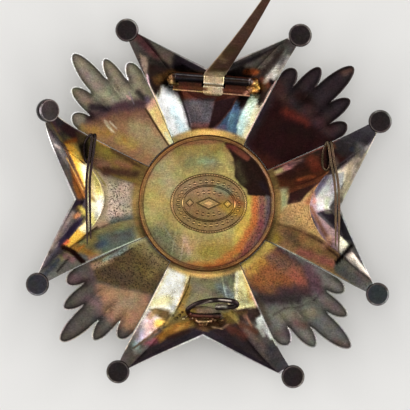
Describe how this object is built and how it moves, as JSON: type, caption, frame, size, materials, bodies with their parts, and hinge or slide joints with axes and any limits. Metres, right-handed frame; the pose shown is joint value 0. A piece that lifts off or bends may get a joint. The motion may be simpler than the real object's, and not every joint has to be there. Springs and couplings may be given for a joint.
{
  "type": "breast star with pin hinge",
  "caption": "Struck silver Maltese cross star with rays, lying face down, its back showing a hinged pin, a catch and two wire hooks.",
  "frame": {"origin": "middle of the medallion's resting face, on the surface that the star lies on", "axes": "+Z out of the star's back, +Y along the arm that carries the pin's hinge, +X to the right as the back is seen"},
  "size_m": [0.08, 0.0994, 0.0433],
  "materials": {
    "tarnished_silver": "tarnished silver",
    "gilt_silver": "yellow tarnish, polished",
    "solder_bronze": "tarnished solder",
    "dark_wire": "dark tarnished wire",
    "pin_steel": "brown aged blade"
  },
  "bodies": {
    "star": {"cross_shell": "tarnished_silver", "rays_ne": "tarnished_silver", "rays_nw": "tarnished_silver", "rays_sw": "tarnished_silver", "rays_se": "tarnished_silver", "back_disc": "gilt_silver", "oval_plate": "gilt_silver", "medallion": "tarnished_silver", "hinge_base": "solder_bronze", "hinge_rivet": "dark_wire", "catch": "dark_wire", "hook_left": "dark_wire", "hook_right": "dark_wire"},
    "pin": {"pin": "pin_steel"}
  },
  "joints": [
    {"name": "pin_hinge", "type": "hinge", "parent": "star", "child": "pin", "pos_m": [0.0007, 0.0272, 0.00794], "axis": [0.9986, -0.0523, 0], "range_deg": [0, 130]}
  ]
}
